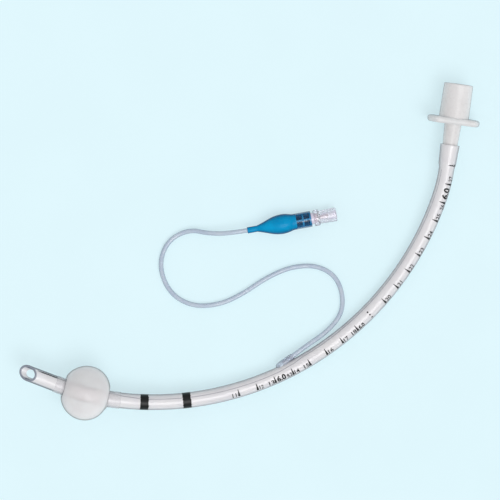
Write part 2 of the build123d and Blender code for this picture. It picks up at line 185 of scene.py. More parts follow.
# a mesh piece that rides on the tube's body, shaded smooth but for its corners
def meshPiece(name, bm):
    bmesh.ops.recalc_face_normals(bm, faces=bm.faces[:])
    data = bpy.data.meshes.new(name)
    bm.to_mesh(data)
    bm.free()
    data.shade_smooth()
    data.set_sharp_from_angle(angle=sharpTurn)
    piece = link(bpy.data.objects.new(name, data))
    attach(piece, "tube")
    return piece


# a grid of rows of points as faces, closed across the rows, and along them too if asked
def addGrid(bm, rows, closedAlong):
    made = [[bm.verts.new(point) for point in row] for row in rows]
    count, across = len(made), len(made[0])
    for i in range(count if closedAlong else count - 1):
        for j in range(across):
            k = (j + 1) % across
            bm.faces.new((made[i][j], made[i][k], made[(i + 1) % count][k], made[(i + 1) % count][j]))
    if not closedAlong:
        bm.faces.new(made[0])
        bm.faces.new(made[-1][::-1])


# the cuff: a blown film between two bonded collars, folded back over the far one
cuffShape = {
    "farBond": 26.7,  # mm from the tip
    "nearBond": 48.4,
    "collarLength": 7.0,
    "collarRadius": 4.42,
    "collarTrim": 0.3,  # how far inside its length a collar's cut end stays
    "collarCut": (4.16, 0.06, 0.1),  # radius of its cut end, and how far its corner is rounded in and along
    "collarRings": (5, 0.5, 1.35),  # how many, the first one's distance from the cut, the step
    "boreRadius": 4.12,
    "boreRings": (5, 1.3),  # how many, the step
    "filmThickness": 0.18,
    "filmGap": 0.02,  # least gap between the film and what it folds on
    "chordOrigin": Vector((-94.636, -71.095, 15.418)),
    "chord": Vector((0.95808, -0.26, -0.12037)),
    "chordLength": 21.658,
    "equator": 10.123,  # along the chord
    "nearArc": (2.2, 12.0),  # height of its centre over the chord, radius
    "farArc": (1.2, 13.0),
    "foldTurn": math.radians(25.9),
    "foldReach": 0.1,  # how far past the bond the fold starts
    "foldSteps": 12,
    "farSteps": 26,
    "nearSteps": 28,
    "chordShare": 2.2,  # mm of height in which the film goes over from the tube's line to the chord
    "pleatDepth": 0.22,
    "pleatFade": 5.5,  # mm over the collar where the pleats end
    "pleatStart": (4.3, 0.8),  # the radius where they start, and how soon they are full
    "pleatCount": 4.5,  # larger is more of them
    "pleatTwist": 0.12,
    "raggedEnd": 0.35,  # how unevenly the collars' ends are cut
    "raggedCount": 2,
    "around": 120,
}


# the film's profile from the far bond to the near one, as distance along the chord and radius
def cuffProfile():
    shape = cuffShape
    far, near, equator = shape["farArc"], shape["nearArc"], shape["equator"]
    start = Vector((equator - far[1] * math.cos(shape["foldTurn"]), far[0] + far[1] * math.sin(shape["foldTurn"])))
    heading = Vector((-math.sin(shape["foldTurn"]), -math.cos(shape["foldTurn"])))
    normal = Vector((-heading.y, heading.x))
    end = Vector((-shape["foldReach"], shape["collarRadius"] + shape["filmGap"]))
    foldRadius = (end - start).length_squared / (2 * (end - start).dot(normal))
    middle = start + normal * foldRadius
    first = math.atan2(end.y - middle.y, end.x - middle.x)
    last = math.atan2(start.y - middle.y, start.x - middle.x)
    if last > first:
        first += 2 * math.pi
    points = []
    for i in range(shape["foldSteps"]):
        turn = first + (last - first) * i / shape["foldSteps"]
        points.append(Vector((middle.x + foldRadius * math.cos(turn), middle.y + foldRadius * math.sin(turn))))
    for i in range(shape["farSteps"]):
        turn = math.pi - shape["foldTurn"] - (math.pi / 2 - shape["foldTurn"]) * i / shape["farSteps"]
        points.append(Vector((equator + far[1] * math.cos(turn), far[0] + far[1] * math.sin(turn))))
    nearEnd = math.asin((shape["collarRadius"] - near[0]) / near[1])
    for i in range(shape["nearSteps"] + 1):
        turn = math.pi / 2 - (math.pi / 2 - nearEnd) * i / shape["nearSteps"]
        points.append(Vector((equator + near[1] * math.cos(turn), near[0] + near[1] * math.sin(turn))))
    return points


# a ring of the cuff: it turns about the tube at its bonds and about the chord where it stands away from the tube
def cuffRing(bond, chordStart, place, radius):
    shape = cuffShape
    centre, along, inward = tubeFrame(bond)
    chordInward = tubeRun["up"].cross(shape["chord"]).normalized()
    share = min(max((radius - shape["collarRadius"]) / shape["chordShare"], 0.0), 1.0)
    share = share * share * (3 - 2 * share)
    fading = max(0.0, 1.0 - (radius - shape["collarRadius"]) / shape["pleatFade"])
    fading = max(fading * min(1.0, (radius - shape["pleatStart"][0]) / shape["pleatStart"][1]), 0.0)
    count, twist = shape["pleatCount"], bond + radius * shape["pleatTwist"]
    ring = []
    for i in range(shape["around"]):
        angle = 2 * math.pi * i / shape["around"]
        across = Vector((math.cos(angle), math.sin(angle), 0))
        pleat = 0.5 + 0.5 * noise.noise(Vector((across.x * count, across.y * count, twist)))
        reach = radius - shape["pleatDepth"] * pleat * fading
        up = tubeRun["up"] * across.x
        atTube = centre + along * (place - chordStart) + (up + inward * across.y) * reach
        atChord = shape["chordOrigin"] + shape["chord"] * place + (up + chordInward * across.y) * reach
        ring.append(atTube.lerp(atChord, share) * mm)
    return ring


# a ring of a collar, square to the tube but for how ragged it is cut
def collarRing(distance, radius, ragged=0.0):
    count = cuffShape["raggedCount"]
    ring = []
    for i in range(cuffShape["around"]):
        angle = 2 * math.pi * i / cuffShape["around"]
        shift = ragged * noise.noise(Vector((math.cos(angle) * count, math.sin(angle) * count, distance)))
        centre, along, inward = tubeFrame(distance + shift)
        ring.append((centre + (tubeRun["up"] * math.cos(angle) + inward * math.sin(angle)) * radius) * mm)
    return ring


# the outside of a collar from its cut end on; way is 1 for the far one and -1 for the near one
def collarRings(cutEnd, way):
    shape = cuffShape
    radius, ragged = shape["collarRadius"], shape["raggedEnd"]
    cutRadius, cornerIn, cornerAlong = shape["collarCut"]
    count, start, step = shape["collarRings"]
    rings = [collarRing(cutEnd, cutRadius, ragged), collarRing(cutEnd + way * cornerAlong, radius - cornerIn, ragged)]
    for i in range(count):
        rings.append(collarRing(cutEnd + way * start + way * step * i, radius, ragged * (1 - i / (count - 1))))
    return rings


def makeCuff():
    shape = cuffShape
    profile = cuffProfile()
    farEnd = shape["farBond"] - shape["collarLength"] + shape["collarTrim"]
    nearEnd = shape["nearBond"] + shape["collarLength"] - shape["collarTrim"]
    boreCount, boreStep = shape["boreRings"]
    cornerAlong, start = shape["collarCut"][2], shape["collarRings"][1]
    outer, inner = [], []
    for i, point in enumerate(profile):
        before, after = profile[max(i - 1, 0)], profile[min(i + 1, len(profile) - 1)]
        normal = Vector((-(after - before).y, (after - before).x)).normalized()
        atFar = point.x < shape["equator"]
        bond, chordStart = (shape["farBond"], 0.0) if atFar else (shape["nearBond"], shape["chordLength"])
        outer.append(cuffRing(bond, chordStart, point.x, point.y))
        hidden = point - normal * shape["filmThickness"]
        inner.append(cuffRing(bond, chordStart, hidden.x, max(hidden.y, shape["boreRadius"] + shape["filmGap"])))
    rows = collarRings(farEnd, 1)
    firstOuter = len(rows)
    rows += outer + collarRings(nearEnd, -1)[::-1]
    rows += [collarRing(nearEnd - 2 * cornerAlong - boreStep * i, shape["boreRadius"]) for i in range(boreCount)]
    firstInner = len(rows)
    rows += inner[::-1]
    rows += [collarRing(shape["farBond"] - start - boreStep * i, shape["boreRadius"]) for i in range(boreCount)]
    bm = bmesh.new()
    addGrid(bm, rows, True)
    for i, face in enumerate(bm.faces):  # the collars lie bonded on the tube, so they are clear
        row = i // shape["around"]
        onFilm = any(first <= row < first + len(outer) - 1 for first in (firstOuter, firstInner))
        face.material_index = 0 if onFilm else 1
    return meshPiece("cuffFilm", bm)


cuffFilm = makeCuff()
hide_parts("cuff")
print("cuff done")

# the pilot balloon: a blown pouch with a neck on the line and a thick sleeve on the valve's stem
balloonShape = {
    "origin": Vector((-1.3, 10.7, 6.09488)),  # mm, the end of its neck
    "axis": Vector((0.98238, 0.1803, -0.04918)),
    "up": Vector((0.04837, 0.00888, 0.99879)),
    "neck": (1.62, 1.22, 5.1),  # outer radius, bore radius, length
    "belly": (5.15, 4.9, 18.5),  # outer radius, inner radius, distance
    "sleeve": (4.18, 3.58, 25.8, 33.8),  # outer radius, bore radius, start, end
    "rise": (0.38, 0.36, 0.45),  # how far the outline keeps on at the neck and at the belly, and turns outwards
    "fall": (0.45, 0.4),  # the same from the belly to the sleeve
    "steps": (4, 24, 16, 6),  # in the neck, up to the belly, down to the sleeve, in the sleeve
    "corners": (0.12, 0.15),  # how much the ends of the neck and of the sleeve are rounded
    "welded": 0.4,  # how far before the sleeve the film is already clear
    "gathers": [(9.0, 3.4), (24.2, 1.6)],  # where the film is gathered, and how far that spreads
    "pleatDepth": 0.2,
    "pleatCount": 3.2,  # larger is more of them
    "pleatTwist": 0.05,
    "around": 72,
}


# a smooth line of numbers from a to d, drawn towards b and c on its way
def bezier(a, b, c, d, share):
    rest = 1 - share
    return a * rest**3 + b * 3 * rest * rest * share + c * 3 * rest * share * share + d * share**3


# one skin of the balloon, as distance and radius: which is 0 for the outer one and 1 for the inner one
def balloonSkin(which):
    shape = balloonShape
    neck, belly, sleeve = shape["neck"], shape["belly"], shape["sleeve"]
    rise, fall = belly[2] - neck[2], sleeve[2] - belly[2]
    neckSteps, riseSteps, fallSteps, sleeveSteps = shape["steps"]
    outwards = neck[which] + (belly[which] - neck[which]) * shape["rise"][2]
    points = [(neck[2] * i / neckSteps, neck[which]) for i in range(neckSteps)]
    for i in range(riseSteps):
        share = i / riseSteps
        points.append((
            bezier(neck[2], neck[2] + rise * shape["rise"][0], belly[2] - rise * shape["rise"][1], belly[2], share),
            bezier(neck[which], outwards, belly[which], belly[which], share),
        ))
    for i in range(fallSteps + 1):
        share = i / fallSteps
        points.append((
            bezier(belly[2], belly[2] + fall * shape["fall"][0], sleeve[2] - fall * shape["fall"][1], sleeve[2], share),
            bezier(belly[which], belly[which], sleeve[which], sleeve[which], share),
        ))
    sleeveLength = sleeve[3] - sleeve[2]
    points += [(sleeve[2] + sleeveLength * i / sleeveSteps, sleeve[which]) for i in range(1, sleeveSteps + 1)]
    return points


# a ring of the balloon, with its film gathered a little where the pouch runs into its neck and sleeve
def balloonRing(distance, radius):
    shape = balloonShape
    across = shape["axis"].cross(shape["up"])
    count, twist = shape["pleatCount"], distance * shape["pleatTwist"]
    gather = sum(math.exp(-((distance - place) / spread) ** 2) for place, spread in shape["gathers"])
    ring = []
    for i in range(shape["around"]):
        angle = 2 * math.pi * i / shape["around"]
        fold = 0.5 + 0.5 * noise.noise(Vector((math.cos(angle) * count, math.sin(angle) * count, twist)))
        reach = radius - shape["pleatDepth"] * gather * fold
        outward = shape["up"] * math.cos(angle) + across * math.sin(angle)
        ring.append((shape["origin"] + shape["axis"] * distance + outward * reach) * mm)
    return ring


def makeBalloon():
    outer, inner = balloonSkin(0), balloonSkin(1)
    neckCorner, sleeveCorner = balloonShape["corners"]
    outer[0] = (neckCorner, outer[0][1])
    outer[-1] = (outer[-1][0] - sleeveCorner, outer[-1][1])
    rows = [(0.0, outer[0][1] - neckCorner)] + outer + [(inner[-1][0], outer[-1][1] - sleeveCorner)] + inner[::-1]
    clearFrom = balloonShape["sleeve"][2] - balloonShape["welded"]
    bm = bmesh.new()
    addGrid(bm, [balloonRing(distance, radius) for distance, radius in rows], True)
    for i, face in enumerate(bm.faces):
        face.material_index = 1 if rows[i // balloonShape["around"]][0] > clearFrom else 0
    return meshPiece("balloonFilm", bm)


balloonFilm = makeBalloon()
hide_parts("pilot_balloon")
print("balloon done")

coil = link(bpy.data.objects.new("springCoil", nodes["valve_spring"].data.copy()))
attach(coil, "tube")
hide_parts("valve_spring")
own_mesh(coil)
print("spring done")
# what is printed on the tube: two depth rings, the marks of the centimetre scale and its numbers, and the size
tubePrint = {
    "inkThickness": 0.02,
    "inkFoot": 0.004,  # how far over the skin the underside of a ring lies
    "rings": [67.5, 89.7],  # mm from the tip
    "ringWidth": 4.3,
    "ringAround": 96,
    "ringRagged": (0.35, 5),  # how unevenly it ends, and how often
    "ringShares": [-0.5, -0.25, 0.0, 0.25, 0.5],  # of its width
    "marks": [
        116.85, 126.85, 136.85, 146.85, 156.75, 166.95, 176.95, 186.95, 207, 216.8,
        226.8, 236.65, 246.5, 256.3, 266.3, 276, 285.8,
    ],
    "foot": -3.35,  # mm off the middle line as it is looked down on, where the marks and numbers stand
    "footSlope": -0.003,  # how much further off it stands for each mm along the tube
    "footMiddle": 160,  # where along the tube it stands as far off as the foot says
    "markLength": 4.3,
    "markWidth": 1.4,
    "markShares": (0.2, 0.35, 0.5, 0.65, 0.8, 0.93),  # of its length, where its sides have points
    "markTaper": (0.8, 0.8),  # how much narrower it gets, and how soon
    "markFoot": 0.45,  # how round its foot is, as a share of its width
    "numbers": [  # word, start and end along the tube
        ("11", 113.3, 115.5), ("12", 128.0, 130.2), ("13", 133.2, 136.2), ("14", 147.7, 150.4),
        ("15", 153.2, 156.2), ("16", 168.0, 170.9), ("17", 178.0, 180.7), ("18", 183.2, 186.2),
        ("20", 208.0, 211.2), ("21", 217.9, 220.5), ("22", 227.9, 230.9), ("23", 237.8, 240.8),
        ("24", 247.5, 250.5), ("25", 257.2, 260.2), ("26", 262.5, 265.2), ("27", 277.5, 280.2),
    ],
    "numberHeight": 2.6,
    "numberBold": 0.07,
    "letterHeight": 0.7,  # of a capital, as a share of the font's size
    "letterSmooth": 4,
    "sizes": [  # word, start, end, height, boldness
        ("6.0", 137.9, 142.7, 3.6, 0.22), ("8.2", 143.4, 146.2, 2.4, 0.1),
        ("6.0", 188.0, 191.5, 2.6, 0.14), ("6.0", 268.2, 274.0, 3.9, 0.22),
    ],
    "dots": (196.8, [0.4, -1.3, -3.0], 0.95),  # where, how far off the middle line, diameter
    "strip": 0.35,  # mm, the width of the strips that the flat print is cut into, so that it bends
    "strips": (-4, 16),  # from the first to the last
}


# how far round the skin the foot of the print stands, from the top
def footAngle(distance):
    return angleSeen(distance, tubePrint["foot"] + tubePrint["footSlope"] * (distance - tubePrint["footMiddle"]))


# flat faces cut into narrow strips, so that they bend, and laid on the tube
def wrapOnTube(bm, place, footAt):
    for k in range(*tubePrint["strips"]):
        geometry = bm.verts[:] + bm.edges[:] + bm.faces[:]
        bmesh.ops.bisect_plane(bm, geom=geometry, plane_co=(0, k * tubePrint["strip"], 0), plane_no=(0, 1, 0))
    for vert in bm.verts:
        distance = place + vert.co.x
        vert.co = skinPoint(distance, footAt + vert.co.y / tubeRun["outerRadius"], tubePrint["inkThickness"])


# a mark: a wedge with a round foot at the outside of the bend, running thin towards the top
def addMark(place):
    length, width = tubePrint["markLength"], tubePrint["markWidth"]
    taper, bend = tubePrint["markTaper"]
    sides = [(length * share, width / 2 * (1.0 - taper * share ** bend)) for share in tubePrint["markShares"]]
    turns = [math.pi * (1 + i / 8) for i in range(9)]
    outline = [(width / 2 * math.cos(turn), width * tubePrint["markFoot"] * (1 + math.sin(turn))) for turn in turns]
    outline += [(half, y) for y, half in sides] + [(0.0, length)] + [(-half, y) for y, half in sides[::-1]]
    bm = bmesh.new()
    bm.faces.new([bm.verts.new((x, y, 0)) for x, y in outline])
    bmesh.ops.triangulate(bm, faces=bm.faces[:])
    wrapOnTube(bm, place, footAngle(place))
    return bm


# a word between two places along the tube
def addWord(word, start, end, height, bold):
    font = bpy.data.curves.new("word", "FONT")
    font.body = word
    font.size = height / tubePrint["letterHeight"]
    font.offset = bold
    font.resolution_u = tubePrint["letterSmooth"]
    holder = link(bpy.data.objects.new("word", font))
    bpy.context.view_layer.update()
    data = bpy.data.meshes.new_from_object(holder)
    bpy.data.objects.remove(holder)
    bm = bmesh.new()
    bm.from_mesh(data)
    left, right = min(v.co.x for v in bm.verts), max(v.co.x for v in bm.verts)
    low, high = min(v.co.y for v in bm.verts), max(v.co.y for v in bm.verts)
    for vert in bm.verts:
        vert.co.x = (vert.co.x - left) / (right - left) * (end - start)
        vert.co.y = (vert.co.y - low) / (high - low) * height
    wrapOnTube(bm, start, footAngle(start))
    return bm


# a round dot
def addDot(place, offset, diameter):
    bm = bmesh.new()
    turns = [math.pi * i / 8 for i in range(16)]
    bm.faces.new([bm.verts.new((diameter / 2 * math.cos(turn), diameter / 2 * math.sin(turn), 0)) for turn in turns])
    wrapOnTube(bm, place, angleSeen(place, offset))
    return bm


# several small meshes as one piece
def joinPrint(name, parts):
    whole = bmesh.new()
    for part in parts:
        data = bpy.data.meshes.new("part")
        part.to_mesh(data)
        part.free()
        whole.from_mesh(data)
        bpy.data.meshes.remove(data)
    return meshPiece(name, whole)


# a band round the tube, a little ragged at its edges
def addBand(bm, place):
    width, around, shares = tubePrint["ringWidth"], tubePrint["ringAround"], tubePrint["ringShares"]
    ragged, count = tubePrint["ringRagged"]
    rows = []
    for lift, side in ((tubePrint["inkThickness"], shares), (tubePrint["inkFoot"], shares[::-1])):
        for share in side:
            row = []
            for i in range(around):
                angle = 2 * math.pi * i / around
                spot = Vector((math.cos(angle) * count, math.sin(angle) * count, place + share))
                shift = ragged * noise.noise(spot) * abs(share) * 2
                row.append(skinPoint(place + share * width + shift, angle, lift))
            rows.append(row)
    addGrid(bm, rows, True)


ringMesh = bmesh.new()
for place in tubePrint["rings"]:
    addBand(ringMesh, place)
numberLook = (tubePrint["numberHeight"], tubePrint["numberBold"])
dotPlace, dotOffsets, dotDiameter = tubePrint["dots"]
inkPieces = [
    meshPiece("depthRings", ringMesh),
    joinPrint("depthMarks", [addMark(place) for place in tubePrint["marks"]]),
    joinPrint("depthNumbers", [addWord(*number, *numberLook) for number in tubePrint["numbers"]]),
    joinPrint("sizeNumbers", [addWord(*size) for size in tubePrint["sizes"]]),
    joinPrint("sizeDots", [addDot(dotPlace, offset, dotDiameter) for offset in dotOffsets]),
]
print("print done")

# a grey line of painted shade laid on the wall's skin, where the inflation lumen shows dark: black at the tip and faint
# further on
lumenShadeLine = {
    "route": [  # mm from the tip, mm off the middle line as it is looked down on, width
        (9.2, 3.2, 0.25), (12.0, 3.2, 0.8), (19.0, 3.25, 0.8), (26.0, 3.2, 0.5), (50.0, 3.15, 0.5),
        (58.0, 2.4, 0.45), (68.0, 1.7, 0.4), (100.0, 1.5, 0.4), (140.0, 1.4, 0.4), (148.0, 1.9, 0.4),
        (156.0, 2.7, 0.5), (190.0, 2.9, 0.5), (230.0, 2.9, 0.4), (283.0, 2.7, 0.3),
    ],
    "thickness": 0.015,
    "foot": 0.003,  # how far over the skin its underside lies
    "steps": 260,
}


def makeLumenShadeLine():
    route = lumenShadeLine["route"]
    sides = [(side, lumenShadeLine["thickness"]) for side in (-1, 0, 1)]
    sides += [(side, lumenShadeLine["foot"]) for side in (1, 0, -1)]
    rows = []
    for i in range(lumenShadeLine["steps"] + 1):
        distance = route[0][0] + (route[-1][0] - route[0][0]) * i / lumenShadeLine["steps"]
        k = max(n for n in range(len(route) - 1) if route[n][0] <= distance)
        share = (distance - route[k][0]) / (route[k + 1][0] - route[k][0])
        share = share * share * (3 - 2 * share)
        offset = route[k][1] + (route[k + 1][1] - route[k][1]) * share
        half = (route[k][2] + (route[k + 1][2] - route[k][2]) * share) / 2 / tubeRun["outerRadius"]
        middle = angleSeen(distance, offset)
        rows.append([skinPoint(distance, middle + half * side, lift) for side, lift in sides])
    bm = bmesh.new()
    addGrid(bm, rows, False)
    return meshPiece("lumenShadeLine", bm)


stripe = makeLumenShadeLine()
print("stripe done")

# what all the materials share
texture = {
    "hazeSpan": (0.35, 0.65),  # where the noise's values mostly lie, so that the haze goes all the way
    "grainSpan": (0.3, 0.7),
    "bumpHeight": 0.1,  # of the grain, as a share of its size
    "cutSpan": (0.05, 0.4),  # mm from the plane of the bevel in which its painted shade fades
    "cutShadeShare": 0.75,
}
smooth = {"interpolation_type": "SMOOTHSTEP"}
ofColours = {"data_type": "RGBA"}


# a moulded, blown or extruded material: a haze and a fine grain, both by their size in mm, and a painted
# shade at its outline, darker where it is looked at edgewise
def plasticMaterial(look):
    material = bpy.data.materials.new(look["name"])
    material.use_nodes = True
    tree = material.node_tree
    tree.nodes.clear()
    place = addNode(tree, "ShaderNodeTexCoord").outputs["Object"]
    haze = addNode(
        tree, "ShaderNodeTexNoise", Vector=place, Scale=1 / (look["hazeSize"] * mm), Detail=2.0, Roughness=0.5,
    )
    grain = addNode(
        tree, "ShaderNodeTexNoise", Vector=place, Scale=1 / (look["grainSize"] * mm), Detail=3.0, Roughness=0.6,
    )
    hazeShare = addNode(
        tree, "ShaderNodeMapRange", Value=haze.outputs[0],
        From_Min=texture["hazeSpan"][0], From_Max=texture["hazeSpan"][1],
    )
    colour = addNode(
        tree, "ShaderNodeMix", ofColours, Factor=hazeShare.outputs[0],
        i6=hexColour(look["colour"]), i7=hexColour(look["hazeColour"]),
    ).outputs[2]
    # painted shade at the outline: the colour darkens where the surface is seen edgewise
    if "rimShadeColour" in look:
        facing = addNode(tree, "ShaderNodeLayerWeight", Blend=0.5).outputs["Facing"]
        rimShade = addNode(
            tree, "ShaderNodeMapRange", smooth,
            Value=facing, From_Min=look["rimShadeStart"], From_Max=look["rimShadeFull"], To_Max=look["rimShadeShare"],
        ).outputs[0]
        if "rimShadeEnd" in look:  # the painted outline shade is strongest near one point of the object
            away = addNode(tree, "ShaderNodeVectorMath", {"operation": "DISTANCE"}, i0=place, i1=look["rimShadePlace"])
            near = addNode(
                tree, "ShaderNodeMapRange", smooth, Value=away.outputs["Value"],
                From_Min=look["rimShadeEnd"][0], From_Max=look["rimShadeEnd"][1], To_Min=1.0, To_Max=look["rimShadeEnd"][2],
            )
            rimShade = addNode(tree, "ShaderNodeMath", {"operation": "MULTIPLY"}, i0=rimShade, i1=near.outputs[0]).outputs[0]
        colour = addNode(
            tree, "ShaderNodeMix", ofColours, Factor=rimShade, i6=colour, i7=hexColour(look["rimShadeColour"]),
        ).outputs[2]
    if "cutShadeColour" in look:  # painted shade along the bevel's cut
        height = addNode(tree, "ShaderNodeVectorMath", {"operation": "DOT_PRODUCT"}, i0=place, i1=look["cutNormal"])
        off = addNode(
            tree, "ShaderNodeMath", {"operation": "SUBTRACT"}, i0=height.outputs["Value"], i1=look["cutHeight"],
        )
        off = addNode(tree, "ShaderNodeMath", {"operation": "ABSOLUTE"}, i0=off.outputs[0])
        cutShade = addNode(
            tree, "ShaderNodeMapRange", smooth, Value=off.outputs[0],
            From_Min=texture["cutSpan"][0] * mm, From_Max=texture["cutSpan"][1] * mm,
            To_Min=texture["cutShadeShare"], To_Max=0.0,
        )
        colour = addNode(
            tree, "ShaderNodeMix", ofColours, Factor=cutShade.outputs[0], i6=colour, i7=hexColour(look["cutShadeColour"]),
        ).outputs[2]
    if "windowShadeColour" in look:  # painted shade on the floors of the stem's windows, nearer its axis than its ribs are
        origin, axis = balloonShape["origin"] * mm, balloonShape["axis"]
        arm = addNode(tree, "ShaderNodeVectorMath", {"operation": "SUBTRACT"}, i0=place, i1=origin).outputs[0]
        across = addNode(tree, "ShaderNodeVectorMath", {"operation": "CROSS_PRODUCT"}, i0=arm, i1=axis).outputs[0]
        radius = addNode(tree, "ShaderNodeVectorMath", {"operation": "LENGTH"}, i0=across).outputs["Value"]
        along = addNode(tree, "ShaderNodeVectorMath", {"operation": "DOT_PRODUCT"}, i0=arm, i1=axis).outputs["Value"]
        inside = addNode(
            tree, "ShaderNodeMath", {"operation": "LESS_THAN"}, i0=radius, i1=look["windowRadius"] * mm,
        ).outputs[0]
        before = addNode(
            tree, "ShaderNodeMath", {"operation": "LESS_THAN"}, i0=along, i1=look["windowEnd"] * mm,
        ).outputs[0]
        colour = addNode(  # painted blue light, as if it had come through the sleeve
            tree, "ShaderNodeMix", ofColours, Factor=before, i6=colour, i7=hexColour(look["paintedSleeveLight"]),
        ).outputs[2]
        windowShade = addNode(tree, "ShaderNodeMath", {"operation": "MULTIPLY"}, i0=inside, i1=before).outputs[0]
        colour = addNode(
            tree, "ShaderNodeMix", ofColours, Factor=windowShade, i6=colour, i7=hexColour(look["windowShadeColour"]),
        ).outputs[2]
    if "tipShadeColour" in look:  # a painted shade near one point of the object
        away = addNode(tree, "ShaderNodeVectorMath", {"operation": "DISTANCE"}, i0=place, i1=look["tipPlace"])
        near = addNode(
            tree, "ShaderNodeMapRange", smooth, Value=away.outputs["Value"],
            From_Min=look["tipEnd"][0], From_Max=look["tipEnd"][1], To_Min=1.0, To_Max=0.0,
        )
        colour = addNode(
            tree, "ShaderNodeMix", ofColours, Factor=near.outputs[0], i6=colour, i7=hexColour(look["tipShadeColour"]),
        ).outputs[2]
    roughness = addNode(
        tree, "ShaderNodeMapRange", Value=grain.outputs[0],
        From_Min=texture["grainSpan"][0], From_Max=texture["grainSpan"][1],
        To_Min=look["roughness"][0], To_Max=look["roughness"][1],
    )
    bump = addNode(
        tree, "ShaderNodeBump", Height=grain.outputs[0], Strength=look["bumpStrength"],
        Distance=look["grainSize"] * texture["bumpHeight"] * mm,
    )
    shader = addNode(
        tree, "ShaderNodeBsdfPrincipled", Base_Color=colour, Roughness=roughness.outputs[0], Normal=bump.outputs[0],
        IOR=look["ior"], Transmission_Weight=look["transmission"], Metallic=look.get("metallic", 0.0),
        Specular_IOR_Level=look.get("specular", 0.5),
    )
    if "film" in look:  # how much of it one skin covers, looked at squarely and edgewise
        facing = addNode(tree, "ShaderNodeLayerWeight", Blend=0.5).outputs["Facing"]
        cover = addNode(tree, "ShaderNodeMapRange", Value=facing, To_Min=look["film"][0], To_Max=look["film"][1])
        tree.links.new(cover.outputs[0], shader.inputs["Alpha"])
    if "glow" in look:  # seen directly, mirrored or through clear plastic, it is as pale as it is written
        path = addNode(tree, "ShaderNodeLightPath").outputs
        larger = {"operation": "MAXIMUM"}
        seen = addNode(tree, "ShaderNodeMath", larger, i0=path["Is Camera Ray"], i1=path["Is Transmission Ray"])
        seen = addNode(tree, "ShaderNodeMath", larger, i0=seen.outputs[0], i1=path["Is Glossy Ray"])
        share = addNode(tree, "ShaderNodeMath", {"operation": "MULTIPLY"}, i0=seen.outputs[0], i1=look["glow"])
        glow = addNode(tree, "ShaderNodeEmission", Color=colour, Strength=1.0)
        shader = addNode(tree, "ShaderNodeMixShader", Fac=share.outputs[0], i1=shader.outputs[0], i2=glow.outputs[0])
    addNode(tree, "ShaderNodeOutputMaterial", Surface=shader.outputs[0])
    return material


